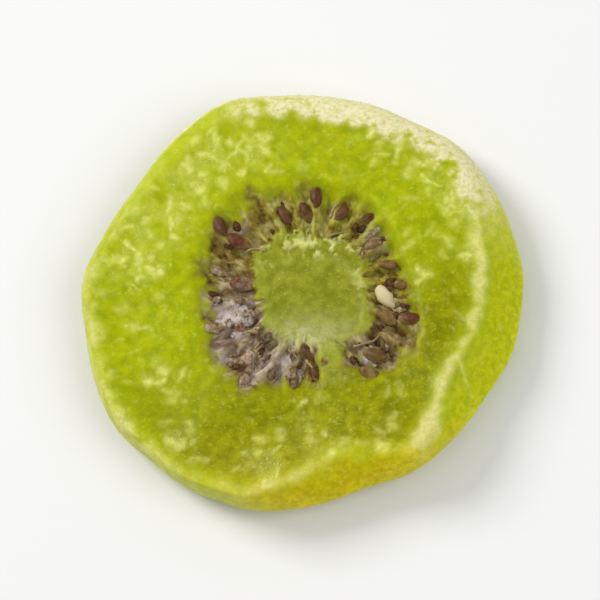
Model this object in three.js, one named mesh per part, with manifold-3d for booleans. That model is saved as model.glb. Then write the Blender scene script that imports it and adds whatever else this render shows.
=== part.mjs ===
// A dried, sugared slice of kiwi fruit, cut across the fruit and lying on its underside.
// Flesh, core and seeds grew together, so the slice is one solid: a lathe-turned disc is bent to the
// uneven outline and relief of the real slice, and the seeds that stand proud are joined to it.
// Millimetres and degrees, +Z up. +X and +Y lie in the plane of the slice.

import * as THREE from "three";
import { mergeVertices } from "three/addons/utils/BufferGeometryUtils.js";
import Module from "manifold-3d";

// The slice as a whole.
const MEAN_RADIUS = 21.8;
const FLESH_HEIGHT = 5.2;
const WIDEST_HEIGHT = 2.2;
const WARP_HEIGHT = 0.7;
const WARP_AXIS = 116;

// Uneven rims are sums of waves: how many go round, how high each is, and where one of its crests lies.
const OUTLINE_WAVES = [
  { count: 2, height: 0.25, crest: 30 },
  { count: 3, height: 0.24, crest: -7 },
  { count: 4, height: 0.15, crest: 14 },
  { count: 5, height: 0.24, crest: -34 },
  { count: 6, height: 0.13, crest: -5 },
  { count: 7, height: 0.13, crest: 7 },
  { count: 8, height: 0.15, crest: -10 },
  { count: 11, height: 0.09, crest: 12 },
  { count: 17, height: 0.06, crest: 5 },
];

// The cut face's edge stands in from the outline. Each stretch sets it further in, where the peeled
// side of the fruit slopes outwards below it, or pinches it towards the outline.
const EDGE_INSET = 1.6;
const EDGE_LEAN = { depth: 0.9, crest: 80 };
const EDGE_STRETCHES = [
  { centre: -24, halfWidth: 58, depth: 2.1 },
  { centre: -78, halfWidth: 24, depth: 1.8 },
  { centre: -54, halfWidth: 20, depth: -1.7 },
  { centre: -118, halfWidth: 40, depth: -0.35 },
];
const LIP_HEIGHT = 0.15;
const LIP_WIDTH = 1.0;

// The side is round below its widest line and above it. Where the edge stands in from SLOPED_FROM to
// SLOPED_FULL, the upper part straightens: 0 is a quarter of an ellipse and 1 a straight slope.
const ROUND_SIDE = 0.15;
const SLOPED_SIDE = 0.6;
const SLOPED_FROM = 2.4;
const SLOPED_FULL = 3.5;

// The underside is like the top, but it sank a little into the tray that it dried on, and its rim
// curled up.
const UNDER_INSET = 1.7;
const UNDER_LIFT = 0.9;
const UNDER_LIFT_FROM = 0.72;
const UNDER_UNEVENNESS = 1.4;
const UNDER_SINK = 0.2;
const TRAY_GAP = 0.05;

// The ring of seed chambers round the pale core, off the middle of the slice.
const RING_CENTRE = new THREE.Vector2(1.6, 0.3);
const RING_RADIUS = 11.0;
const RING_WAVES = [
  { count: 1, height: 0.9, crest: -166 },
  { count: 2, height: 0.5, crest: -49 },
  { count: 3, height: 0.4, crest: -19 },
  { count: 4, height: 0.6, crest: -37 },
];
const CORE_RADIUS = 6.1;
const CORE_WAVES = [
  { count: 2, height: 0.5, crest: -46 },
  { count: 4, height: 0.4, crest: -43 },
];
const CHAMBERS = 26;
const CHAMBER_DEPTH = 0.26;
const CHAMBER_FLANK = 0.15;
const RING_DIP = 0.75;
const RING_FLANK = 0.22;
const CORE_DIP = 0.5;
const BRIDGE = { centre: -75, halfWidth: 15 };

// A kiwi seed: a flat drop, pointed towards the core. Most chambers have one in their outer half, and
// some have one near the core. proud lifts a seed's middle over the flesh.
const SEED = { length: 2.35, width: 1.35, thick: 1.0, proud: 0.06 };
const SEED_TAPER = 0.3;
const SEED_SIDES = 6;
const SEED_BANDS = 4;
const SEED_SIZES = [0.8, 1.15];
const SEED_ROLL = 0.7;
const SEED_TIP = 0.5;
const SEED_TURN = 1.0;
const SEED_ROWS = [
  { from: 0.42, to: 0.97, chance: 0.66 },
  { from: 0.06, to: 0.5, chance: 0.42 },
];
const OFF_CHAMBER = 1.0;
const TOP_DRAWS = [29313, 38635];
const UNDER_DRAWS = [21, 24];

// One seed on the right lies across the ring: the one nearest to this place is turned by this much more.
const CROSS_SEED = { x: 8.4, y: -0.6, turn: 110 };

// How finely the disc is turned.
const SEGMENTS = CHAMBERS * 4;
const FACE_STEPS = [0, 0.15, 0.24, 0.3, 0.36, 0.42, 0.48, 0.53, 0.58, 0.65, 0.73, 0.81, 0.88, 0.94, 1];
const UNDER_STEPS = [0, 0.16, 0.28, 0.37, 0.46, 0.54, 0.62, 0.72, 0.82, 0.92, 1];
const SIDE_STEPS_DOWN = 3;
const SIDE_STEPS_UP = 5;

const wasm = await Module();
wasm.setup();

const rad = THREE.MathUtils.degToRad;
const ease = THREE.MathUtils.smoothstep;
const between = THREE.MathUtils.lerp;

function waves(list, angle) {
  return list.reduce((sum, w) => sum + w.height * Math.cos(w.count * (angle - rad(w.crest))), 0);
}

// 1 at the centre of a stretch of the rim, falling to 0 at its two ends.
function stretch({ centre, halfWidth }, angle) {
  const turned = angle - rad(centre);
  const away = Math.abs(Math.atan2(Math.sin(turned), Math.cos(turned))) / rad(halfWidth);
  return away < 1 ? Math.cos((away * Math.PI) / 2) : 0;
}

// 1 between start and end and 0 outside them, with an eased flank on each side.
function band(x, start, end, flank) {
  return ease(x, start - flank, start + flank) * (1 - ease(x, end - flank, end + flank));
}

// A number from low to high that looks random and is the same on every run.
function draw(index, stream, low = 0, high = 1) {
  const s = Math.sin(index * 12.9898 + stream * 78.233) * 43758.5453;
  return between(low, high, s - Math.floor(s));
}

function outlineRadius(angle) {
  return MEAN_RADIUS + waves(OUTLINE_WAVES, angle);
}

function edgeInset(angle) {
  const lean = EDGE_LEAN.depth * Math.cos(angle - rad(EDGE_LEAN.crest));
  return EDGE_STRETCHES.reduce((sum, s) => sum + s.depth * stretch(s, angle), EDGE_INSET + lean);
}

// The place of a point in the seed ring: its angle round the ring's centre, its distance from it, and
// depth, which is 0 on the core's rim and 1 on the outer rim of the seed chambers.
function ringPlace(x, y) {
  const angle = Math.atan2(y - RING_CENTRE.y, x - RING_CENTRE.x);
  const distance = Math.hypot(x - RING_CENTRE.x, y - RING_CENTRE.y);
  const inner = CORE_RADIUS + waves(CORE_WAVES, angle);
  const outer = RING_RADIUS + waves(RING_WAVES, angle);
  return { angle, distance, inner, outer, depth: (distance - inner) / (outer - inner) };
}

// How much of the ring's relief shows: none where a bridge of flesh joins the core.
function ringShare(angle) {
  return 1 - ease(stretch(BRIDGE, angle), 0.2, 0.8);
}

// The chambers are grooves that point at the core, with thin walls of flesh between them.
function chamberRelief(place) {
  const groove = Math.cos(CHAMBERS * place.angle) * band(place.depth, 0.05, 0.95, CHAMBER_FLANK);
  return -CHAMBER_DEPTH * groove * ringShare(place.angle);
}

// How far the ring and the core dried in below the flesh round them.
function middleDip(place) {
  const ring = RING_DIP * band(place.depth, 0, 1, RING_FLANK) * ringShare(place.angle);
  const core = CORE_DIP * (1 - ease(place.depth, -0.35, 0.1));
  return ring + core;
}

// Drying left the flesh gently uneven, and bent the slice a little up at two opposite sides.
function unevenness(x, y) {
  return 0.1 * Math.sin(0.52 * x + 0.21 * y + 1.3) + 0.09 * Math.sin(0.63 * y - 0.34 * x + 0.4);
}

function warp(x, y) {
  const along = x * Math.cos(rad(WARP_AXIS)) + y * Math.sin(rad(WARP_AXIS));
  return WARP_HEIGHT * (along / MEAN_RADIUS) ** 2;
}

function topHeight(x, y) {
  const angle = Math.atan2(y, x);
  const fromEdge = Math.hypot(x, y) - (outlineRadius(angle) - edgeInset(angle));
  const place = ringPlace(x, y);
  const lip = LIP_HEIGHT * Math.exp(-(((fromEdge + LIP_WIDTH / 2) / LIP_WIDTH) ** 2));
  return FLESH_HEIGHT + lip - middleDip(place) + chamberRelief(place) + unevenness(x, y) + warp(x, y);
}

// The tray was flat, so the underside is level wherever it would reach below it.
function underHeight(x, y) {
  const far = Math.hypot(x, y) / outlineRadius(Math.atan2(y, x));
  const place = ringPlace(x, y);
  const rim = UNDER_LIFT * ease(far, UNDER_LIFT_FROM, 1);
  const middle = middleDip(place) - chamberRelief(place);
  return Math.max(0, rim + middle + UNDER_UNEVENNESS * unevenness(-x, y) + warp(x, y) - UNDER_SINK);
}

// A point of a face: share runs from 0 at the ring's centre to 1 at the face's edge, so that the
// turned bands lie along the seed ring near the middle and along the rim further out.
function facePoint(share, angle, edgeRadius, height) {
  const drift = 1 - ease(share, 0.5, 1);
  const x = RING_CENTRE.x * drift + share * edgeRadius * Math.cos(angle);
  const y = RING_CENTRE.y * drift + share * edgeRadius * Math.sin(angle);
  return new THREE.Vector3(x, y, height(x, y));
}

// A point of the side: turn runs from 0 at the widest line to 1 at the face's edge.
function sidePoint(turn, angle, inset, edgeHeight, slope) {
  const widest = outlineRadius(angle);
  const swing = (turn * Math.PI) / 2;
  const radius = widest - inset * between(1 - Math.cos(swing), turn, slope);
  const x = radius * Math.cos(angle);
  const y = radius * Math.sin(angle);
  const upwards = between(Math.sin(swing), turn, slope);
  return new THREE.Vector3(x, y, between(WIDEST_HEIGHT + warp(x, y), edgeHeight, upwards));
}

// The whole section at one angle, from the middle of the underside round the rim to the middle of the top.
function section(angle) {
  const inset = edgeInset(angle);
  const underEdge = outlineRadius(angle) - UNDER_INSET;
  const topEdge = outlineRadius(angle) - inset;
  const under = UNDER_STEPS.map((share) => facePoint(share, angle, underEdge, underHeight));
  const top = FACE_STEPS.map((share) => facePoint(share, angle, topEdge, topHeight)).reverse();
  const underZ = under.at(-1).z;
  const topZ = top[0].z;
  const slope = between(ROUND_SIDE, SLOPED_SIDE, ease(inset, SLOPED_FROM, SLOPED_FULL));
  const side = [];
  for (let step = SIDE_STEPS_DOWN - 1; step > 0; step--) {
    side.push(sidePoint(step / SIDE_STEPS_DOWN, angle, UNDER_INSET, underZ, ROUND_SIDE));
  }
  for (let step = 0; step < SIDE_STEPS_UP; step++) {
    side.push(sidePoint(step / SIDE_STEPS_UP, angle, inset, topZ, slope));
  }
  return [...under, ...side, ...top];
}

// A lathe turns a plain profile with as many points as the section, and each is then put in its place.
function discGeometry() {
  const count = section(0).length;
  const profile = Array.from({ length: count }, (_, i) => new THREE.Vector2(1, i));
  const geometry = new THREE.LatheGeometry(profile, SEGMENTS);
  const position = geometry.getAttribute("position");
  for (let segment = 0; segment <= SEGMENTS; segment++) {
    const angle = ((segment % SEGMENTS) / SEGMENTS) * 2 * Math.PI;
    section(angle).forEach((p, i) => position.setXYZ(segment * count + i, p.x, p.y, p.z));
  }
  return geometry;
}

// A seed lies half sunk in its chamber, a little turned and tipped, and the tray kept it from
// reaching below the underside.
function seedGeometry(x, y, height, facing, index, extraTurn = 0) {
  const geometry = new THREE.SphereGeometry(0.5, SEED_SIDES, SEED_BANDS);
  geometry.rotateZ(Math.PI / 2);
  const position = geometry.getAttribute("position");
  for (let i = 0; i < position.count; i++) {
    const taper = 1 - SEED_TAPER * (0.5 - position.getX(i)) ** 2;
    position.setY(i, position.getY(i) * taper);
  }
  const size = draw(index, 5, ...SEED_SIZES);
  geometry.scale(SEED.length * size, SEED.width * size, SEED.thick * size);
  geometry.rotateX(draw(index, 6, -SEED_ROLL, SEED_ROLL) / 2);
  geometry.rotateY(draw(index, 7, -SEED_TIP, SEED_TIP) / 2);
  geometry.rotateZ(ringPlace(x, y).angle + draw(index, 8, -SEED_TURN, SEED_TURN) / 2 + extraTurn);
  geometry.translate(x, y, height(x, y) + facing * SEED.proud);
  geometry.computeBoundingBox();
  return geometry.translate(0, 0, Math.max(0, TRAY_GAP - geometry.boundingBox.min.z));
}

// The places of one face's seeds, chamber by chamber, with none where the bridge is.
function seedPlaces(draws) {
  const places = [];
  for (let chamber = 0; chamber < CHAMBERS; chamber++) {
    SEED_ROWS.forEach(({ from, to, chance }, row) => {
      const first = draws[row];
      const offset = draw(chamber, first, -OFF_CHAMBER, OFF_CHAMBER) / 2;
      const angle = ((chamber + offset) / CHAMBERS) * 2 * Math.PI;
      if (ringShare(angle) < 0.9 || draw(chamber, first + 2) > chance) return;
      const inner = CORE_RADIUS + waves(CORE_WAVES, angle);
      const outer = RING_RADIUS + waves(RING_WAVES, angle);
      const distance = between(inner, outer, draw(chamber, first + 1, from, to));
      places.push([RING_CENTRE.x + distance * Math.cos(angle), RING_CENTRE.y + distance * Math.sin(angle)]);
    });
  }
  return places;
}

function solidFrom(geometry) {
  geometry.deleteAttribute("normal");
  geometry.deleteAttribute("uv");
  const merged = mergeVertices(geometry, 1e-4);
  return new wasm.Manifold(
    new wasm.Mesh({
      numProp: 3,
      vertProperties: merged.getAttribute("position").array,
      triVerts: new Uint32Array(merged.index.array),
    }),
  );
}

function geometryFrom(solid) {
  const mesh = solid.getMesh();
  const geometry = new THREE.BufferGeometry();
  geometry.setAttribute("position", new THREE.BufferAttribute(new Float32Array(mesh.vertProperties), 3));
  geometry.setIndex(new THREE.BufferAttribute(new Uint32Array(mesh.triVerts), 1));
  geometry.computeVertexNormals();
  return geometry;
}

function sliceGeometry() {
  let solid = solidFrom(discGeometry());
  const topPlaces = seedPlaces(TOP_DRAWS);
  const away = topPlaces.map(([x, y]) => Math.hypot(x - CROSS_SEED.x, y - CROSS_SEED.y));
  const crossSeed = away.indexOf(Math.min(...away));
  topPlaces.forEach(([x, y], i) => {
    const extraTurn = i === crossSeed ? rad(CROSS_SEED.turn) : 0;
    solid = solid.add(solidFrom(seedGeometry(x, y, topHeight, 1, i, extraTurn)));
  });
  seedPlaces(UNDER_DRAWS).forEach(([x, y], i) => {
    solid = solid.add(solidFrom(seedGeometry(x, y, underHeight, -1, UNDER_DRAWS[0] + i)));
  });
  return geometryFrom(solid);
}

// The origin is under the middle of the slice, on the surface that it lies on.
function centred(geometry) {
  geometry.computeBoundingBox();
  const middle = geometry.boundingBox.getCenter(new THREE.Vector3());
  return geometry.translate(-middle.x, -middle.y, -geometry.boundingBox.min.z);
}

const flesh = new THREE.MeshStandardMaterial({ color: 0xa9b51f, roughness: 0.45, metalness: 0 });
const slice = new THREE.Mesh(centred(sliceGeometry()), flesh);
slice.name = "kiwi_slice";

const group = new THREE.Group();
group.add(slice);

export default group;
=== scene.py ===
# A sugared, dried slice of kiwi fruit on a pale floor, with its shown cut face up.
# Shapes are worked out in millimetres, +X and +Y in the plane of the slice, and built in metres.

import math
import random
from bisect import bisect
from itertools import accumulate

import bmesh
import bpy
from mathutils import Matrix, Vector, kdtree, noise


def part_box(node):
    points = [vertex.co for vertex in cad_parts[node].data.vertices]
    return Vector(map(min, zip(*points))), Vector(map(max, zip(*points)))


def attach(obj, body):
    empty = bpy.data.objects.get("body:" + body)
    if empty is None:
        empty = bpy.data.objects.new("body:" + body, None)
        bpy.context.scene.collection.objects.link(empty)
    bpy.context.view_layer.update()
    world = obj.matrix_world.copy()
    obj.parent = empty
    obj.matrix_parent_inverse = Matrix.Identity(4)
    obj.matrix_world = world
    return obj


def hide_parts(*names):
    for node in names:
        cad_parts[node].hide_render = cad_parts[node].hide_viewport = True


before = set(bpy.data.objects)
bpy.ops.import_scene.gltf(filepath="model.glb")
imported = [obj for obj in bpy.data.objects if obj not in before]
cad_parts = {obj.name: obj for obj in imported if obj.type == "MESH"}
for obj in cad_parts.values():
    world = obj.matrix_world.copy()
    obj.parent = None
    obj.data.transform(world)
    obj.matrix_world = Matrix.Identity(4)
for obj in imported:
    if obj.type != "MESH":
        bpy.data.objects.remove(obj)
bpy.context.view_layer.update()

# THE FLESH
# One slice of peeled fruit, soaked in syrup and dried until it turned leathery and half clear. Rim,
# flesh, core and seed chambers are one piece: a disc turned from sections that change with the angle.

MM = 0.001
MEAN_RADIUS = 21.8
FLESH_HEIGHT = 5.2
WIDEST_HEIGHT = 2.2
WARP_HEIGHT = 0.7
WARP_AXIS = math.radians(116)

# Uneven rims are sums of waves: how many go round, how high each is, and where a crest lies.
OUTLINE_WAVES = (
    (2, 0.25, 30), (3, 0.24, -7), (4, 0.15, 14), (5, 0.24, -34), (6, 0.13, -5),
    (7, 0.13, 7), (8, 0.15, -10), (11, 0.09, 12), (17, 0.06, 5),
)

# Both faces rise and sink in slow waves: how high each is, how it turns along X and Y, and its start.
FACE_WAVES = ((0.1, 0.52, 0.21, 1.3), (0.09, -0.34, 0.63, 0.4))

# How far the cut face's edge stands in from the outline, with stretches as (centre, half width, depth).
# A low lip runs along it. The side below is round, and slopes where the edge stands far in.
EDGE_INSET = 1.6
EDGE_LEAN, EDGE_LEAN_TO = 0.9, math.radians(80)
EDGE_STRETCHES = ((-24, 58, 2.1), (-78, 24, 1.8), (-54, 20, -1.7), (-118, 40, -0.35))
LIP_HEIGHT, LIP_WIDTH = 0.15, 1.0
ROUND_SIDE, SLOPED_SIDE = 0.15, 0.6
SLOPED_FROM, SLOPED_FULL = 2.4, 3.5

# The underside is a cut like the shown face, with its rim curled up a little.
UNDER_INSET, UNDER_LIFT, UNDER_LIFT_FROM = 1.7, 0.9, 0.72
UNDER_UNEVENNESS, UNDER_SINK = 1.4, 0.2

# The ring of seed chambers round the core, off the middle of the slice. Depth in it is 0 at the core's
# rim and 1 at its outer rim. One bridge of flesh crosses it: (centre, half width, 1).
RING_CENTRE = (1.6, 0.3)
RING_RADIUS, RING_WAVES = 11.0, ((1, 0.9, -166), (2, 0.5, -49), (3, 0.4, -19), (4, 0.6, -37))
CORE_RADIUS, CORE_WAVES = 6.1, ((2, 0.5, -46), (4, 0.4, -43))
CHAMBERS, CHAMBER_DEPTH, CHAMBER_ENDS, CHAMBER_FLANK = 26, 0.26, (0.05, 0.95), 0.15
RING_DIP, RING_FLANK = 0.75, 0.22
CORE_DIP, CORE_FLANK = 0.5, (-0.35, 0.1)
BRIDGE, BRIDGE_FLANK = (-75, 15, 1.0), (0.2, 0.8)

# How finely the disc is turned: columns round it, and rows as (share from, share to, rows), which lie
# closest together in the seed ring. The rows' middle drifts from the ring's centre to the slice's.
COLUMNS = CHAMBERS * 19
TOP_ROWS = ((0, 0.27, 17), (0.27, 0.64, 52), (0.64, 1, 36))
UNDER_ROWS = ((0, 0.27, 8), (0.27, 0.64, 20), (0.64, 1, 12))
SIDE_ROWS_DOWN, SIDE_ROWS_UP = 7, 16
DRIFT_FROM = 0.5


def ease(x, start, end):
    share = min(max((x - start) / (end - start), 0.0), 1.0)
    return share * share * (3 - 2 * share)


def between(low, high, share):
    return low + (high - low) * share


def bell(x, width):
    return math.exp(-((x / width) ** 2))


def band(x, start, end, flank):
    return ease(x, start - flank, start + flank) * (1 - ease(x, end - flank, end + flank))


def waves(rows, angle):
    return sum(height * math.cos(count * (angle - math.radians(crest))) for count, height, crest in rows)


def stretch(angle, centre, half_width, depth):
    turned = angle - math.radians(centre)
    away = abs(math.atan2(math.sin(turned), math.cos(turned))) / math.radians(half_width)
    return depth * math.cos(away * math.pi / 2) if away < 1 else 0.0


def stretches(rows, angle):
    return sum(stretch(angle, *row) for row in rows)


def outline_radius(angle):
    return MEAN_RADIUS + waves(OUTLINE_WAVES, angle)


def edge_inset(angle):
    lean = EDGE_LEAN * math.cos(angle - EDGE_LEAN_TO)
    return EDGE_INSET + lean + stretches(EDGE_STRETCHES, angle)


def past_outline(x, y):
    """How far a point lies outside the outline. It is negative inside it."""
    return math.hypot(x, y) - outline_radius(math.atan2(y, x))


def past_edge(x, y):
    """How far a point lies outside the cut face's edge. It is negative on the face."""
    angle = math.atan2(y, x)
    return math.hypot(x, y) - (outline_radius(angle) - edge_inset(angle))


def ring_limits(angle):
    return CORE_RADIUS + waves(CORE_WAVES, angle), RING_RADIUS + waves(RING_WAVES, angle)


def ring_place(x, y):
    """The angle round the ring's centre, and the depth in the ring."""
    angle = math.atan2(y - RING_CENTRE[1], x - RING_CENTRE[0])
    inner, outer = ring_limits(angle)
    return angle, (math.hypot(x - RING_CENTRE[0], y - RING_CENTRE[1]) - inner) / (outer - inner)


def ring_point(angle, depth):
    """X and Y of a place in the ring."""
    distance = between(*ring_limits(angle), depth)
    return RING_CENTRE[0] + distance * math.cos(angle), RING_CENTRE[1] + distance * math.sin(angle)


def bridge_share(angle):
    """1 where a bridge of flesh joins the core, and 0 where the ring's relief shows."""
    return ease(stretch(angle, *BRIDGE), *BRIDGE_FLANK)


def chamber_relief(angle, depth):
    groove = math.cos(CHAMBERS * angle) * band(depth, *CHAMBER_ENDS, CHAMBER_FLANK)
    return -CHAMBER_DEPTH * groove * (1 - bridge_share(angle))


def middle_dip(angle, depth):
    ring = RING_DIP * band(depth, 0, 1, RING_FLANK) * (1 - bridge_share(angle))
    return ring + CORE_DIP * (1 - ease(depth, *CORE_FLANK))


def unevenness(x, y):
    return sum(height * math.sin(by_x * x + by_y * y + start) for height, by_x, by_y, start in FACE_WAVES)


def warp(x, y):
    along = x * math.cos(WARP_AXIS) + y * math.sin(WARP_AXIS)
    return WARP_HEIGHT * (along / MEAN_RADIUS) ** 2


def top_height(x, y):
    angle, depth = ring_place(x, y)
    lip = LIP_HEIGHT * bell(past_edge(x, y) + LIP_WIDTH / 2, LIP_WIDTH)
    middle = middle_dip(angle, depth) - chamber_relief(angle, depth)
    return FLESH_HEIGHT + lip - middle + unevenness(x, y) + warp(x, y)


def under_height(x, y):
    angle, depth = ring_place(x, y)
    rim = UNDER_LIFT * ease(math.hypot(x, y) / outline_radius(math.atan2(y, x)), UNDER_LIFT_FROM, 1)
    middle = middle_dip(angle, depth) - chamber_relief(angle, depth)
    return max(0.0, rim + middle + UNDER_UNEVENNESS * unevenness(-x, y) + warp(x, y) - UNDER_SINK)


def face_point(share, angle, edge_radius, height):
    drift = 1 - ease(share, DRIFT_FROM, 1)
    x = RING_CENTRE[0] * drift + share * edge_radius * math.cos(angle)
    y = RING_CENTRE[1] * drift + share * edge_radius * math.sin(angle)
    return Vector((x, y, height(x, y)))


def side_point(turn, angle, inset, edge_height, slope):
    swing = turn * math.pi / 2
    radius = outline_radius(angle) - inset * between(1 - math.cos(swing), turn, slope)
    x, y = radius * math.cos(angle), radius * math.sin(angle)
    share = between(math.sin(swing), turn, slope)
    return Vector((x, y, between(WIDEST_HEIGHT + warp(x, y), edge_height, share)))


def shares(parts):
    """Shares from 0 to 1, as many as each part has rows, with 1 at the end."""
    return [between(start, end, i / count) for start, end, count in parts for i in range(count)] + [1.0]


def section(angle):
    """Points of the underside, the side and the top, from the underside's middle round to the top's."""
    inset = edge_inset(angle)
    under_edge, top_edge = outline_radius(angle) - UNDER_INSET, outline_radius(angle) - inset
    under = [face_point(share, angle, under_edge, under_height) for share in shares(UNDER_ROWS)]
    top = [face_point(share, angle, top_edge, top_height) for share in reversed(shares(TOP_ROWS))]
    slope = between(ROUND_SIDE, SLOPED_SIDE, ease(inset, SLOPED_FROM, SLOPED_FULL))
    down = [
        side_point(i / SIDE_ROWS_DOWN, angle, UNDER_INSET, under[-1].z, ROUND_SIDE)
        for i in range(SIDE_ROWS_DOWN - 1, 0, -1)
    ]
    up = [side_point(i / SIDE_ROWS_UP, angle, inset, top[0].z, slope) for i in range(SIDE_ROWS_UP)]
    return under, down + up, top


# The slice's place: its outline's middle goes where the solid's box has its middle.
slice_low, slice_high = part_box("kiwi_slice")
rim = [(outline_radius(a), a) for a in (2 * math.pi * i / COLUMNS for i in range(COLUMNS))]
rim_x = [r * math.cos(a) for r, a in rim]
rim_y = [r * math.sin(a) for r, a in rim]
PLACE = Vector((
    (slice_low.x + slice_high.x) / 2 - MM * (min(rim_x) + max(rim_x)) / 2,
    (slice_low.y + slice_high.y) / 2 - MM * (min(rim_y) + max(rim_y)) / 2,
    slice_low.z,
))
HIGHEST = (slice_high.z - slice_low.z) / MM + 0.04

# Dried sugar lies as a pale film in patches of the cut face: (x, y, half width, amount). It is clouded,
# and ends where the seed ring begins, at these depths.
FILM_PATCHES = (
    (-9.3, 14.2, 2.4, 0.7), (-11.6, 11.4, 2.1, 0.7), (-4.4, 15.7, 2.6, 0.6), (-16.0, 3.2, 2.6, 0.7),
    (-11.7, 6.9, 2.2, 0.4), (-14.4, -2.3, 2.0, 0.25), (-13.7, -8.2, 1.8, 0.45), (4.6, 11.8, 1.6, 0.4),
    (14.0, 13.0, 2.4, 0.8), (12.4, 1.4, 1.2, 0.7), (0.7, -12.8, 1.6, 0.3), (3.0, -16.6, 2.0, 0.5),
    (-2.5, -18.2, 2.0, 0.8), (-11.4, -15.4, 1.5, 0.6), (8.6, 16.2, 2.4, 0.7), (-15.5, 8.5, 2.4, 0.5),
    (-4.0, 13.0, 1.6, 0.3), (16.0, 8.6, 2.2, 0.6), (17.4, 4.0, 1.5, 0.5), (9.2, -16.4, 1.3, 0.3),
)
FILM_OVERALL, FILM_HEIGHT, FILM_DEPTHS = 0.03, 0.05, (0.85, 1.7)
CLOUD_SIZE, FACE_CLOUDS, LOOSE_CLOUDS = 1.5, 1.3, 0.1
RIM_CLOUDS, SIDE_CLOUDS, RIDGE_CLOUDS = 1.1, 0.6, 0.6

# It is thick along the rim, as (centre, half width, amount), and runs down the side.
RIM_FILM = ((65, 62, 1.5), (178, 60, 0.58), (-122, 36, 0.45))
RIM_FILM_OVERALL, RIM_FILM_IN, RIM_FILM_OUT = 0.05, 1.05, 6.0

# Where the smooth peeled side meets the cut face it is one white line, a little inside the edge:
# (centre, half width, amount, the line's width). At the top left it is one on the outline.
RIDGE_FILM = (
    (-14, 38, 0.8, 0.75), (22, 28, 0.6, 1.5), (-44, 20, 0.6, 1.1), (-49, 9, 0.5, 1.5), (-92, 36, 0.7, 1.1),
)
RIDGE_IN, RIDGE_SWERVE = 0.4, 0.5
OUTLINE_LINE, OUTLINE_LINE_IN, OUTLINE_LINE_WIDTH = (112, 34, 1.3), 0.5, 0.5

# Two thin pale lines run outwards over the flesh: (start, end, width, amount).
FINE_LINES = (((16.2, -7.0), (17.5, -11.0), 0.25, 0.7), ((8.8, 6.9), (12.2, 10.2), 0.22, 0.45))

# On the face sugar lies in soft dabs too, each a row of dots that bends a little, and most in the patches.
DAB_TRIES, STRAY_DABS, DAB_MARGIN = 1400, 0.045, 0.3
DAB_HALF_WIDTHS, DAB_AREAS, DAB_BENDS, DAB_AMOUNTS = (0.22, 0.65), (0.15, 0.8), (-0.5, 0.5), (0.6, 1.3)
DOT_STEP, DOT_AMOUNTS, DAB_TAPER, DAB_SWERVE = 0.25, (0.7, 1.0), 0.4, 0.35
DAB_SIGHT = 2.5 * DAB_HALF_WIDTHS[1]

# Blender starts its noise vectors from the clock. With a seed they are the same on every run.
NOISE_SEED = 1
noise.seed_set(NOISE_SEED)

# And it lies on the pulp of the seed ring in a few places, as patches like those above.
SUGARED_PULP = (
    (-6.9, -1.6, 1.2, 1.0), (-5.4, -1.5, 1.0, 0.9), (-5.6, -3.4, 1.1, 0.9), (-7.4, -6.2, 1.0, 0.5),
    (-1.4, -7.0, 1.2, 0.9), (-3.6, -7.8, 1.0, 0.5),
    (7.0, -7.2, 1.0, 0.7), (7.6, 5.2, 0.9, 0.5), (-6.2, 7.2, 0.7, 0.6),
)


def patch_cover(patches, point):
    """How thickly sugar lies on a point, as the sum of soft round patches."""
    return sum(
        amount * math.exp(-((point.x - x) ** 2 + (point.y - y) ** 2) / width**2)
        for x, y, width, amount in patches
    )


def face_film(point, outside, depth):
    """Sugar on the open flesh, which is the cut face outside the seed ring."""
    open_flesh = ease(depth + 0.3 * noise.noise(point * 0.6), *FILM_DEPTHS) * ease(-outside, -0.6, 0.3)
    return open_flesh * (FILM_OVERALL + patch_cover(FILM_PATCHES, point))


def rim_film(point, outside):
    """Sugar along the rim and down the side, and in the line on the outline."""
    angle = math.atan2(point.y, point.x)
    spread = RIM_FILM_IN if outside < 0 else RIM_FILM_OUT
    broad = (RIM_FILM_OVERALL + stretches(RIM_FILM, angle)) * bell(outside, spread)
    off_line = past_outline(point.x, point.y) + OUTLINE_LINE_IN
    return max(broad, stretch(angle, *OUTLINE_LINE) * bell(off_line, OUTLINE_LINE_WIDTH))


def fine_line(point, start, end, width, amount):
    """Sugar in one thin straight line."""
    length = math.dist(start, end)
    off = Vector((point.x - start[0], point.y - start[1]))
    along = off.dot(Vector((end[0] - start[0], end[1] - start[1]))) / length
    aside = math.sqrt(max(off.length_squared - along**2, 0))
    return amount * bell(math.hypot(max(-along, 0, along - length), aside), width)


def ridge_film(point, outside):
    """Sugar in the white line where side and cut face meet, and in the thin lines."""
    angle = math.atan2(point.y, point.x)
    ridge = sum(stretch(angle, *part) * bell(outside + RIDGE_IN, width) for *part, width in RIDGE_FILM)
    return max(ridge, *(fine_line(point, *line) for line in FINE_LINES))


def clouded_film(at, outside, face, rim, ridge, chamber):
    """The film's thickness once clouds have broken it: most on the face and the rim, least on the side."""
    clouds = noise.fractal(at / CLOUD_SIZE, 0.8, 2.0, 3)
    on_face = ease(face * (1.1 + FACE_CLOUDS * clouds) + LOOSE_CLOUDS * clouds, 0.1, 0.9) * (1 - chamber)
    gaps = between(RIM_CLOUDS, SIDE_CLOUDS, ease(outside, 0.0, 1.5))
    on_rim = ease(rim * (1.0 + gaps * clouds), 0.0, 1.25)
    on_ridge = ease(ridge * (1.05 + RIDGE_CLOUDS * clouds), 0.05, 1.05)
    return max(on_face, on_rim, on_ridge)


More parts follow.
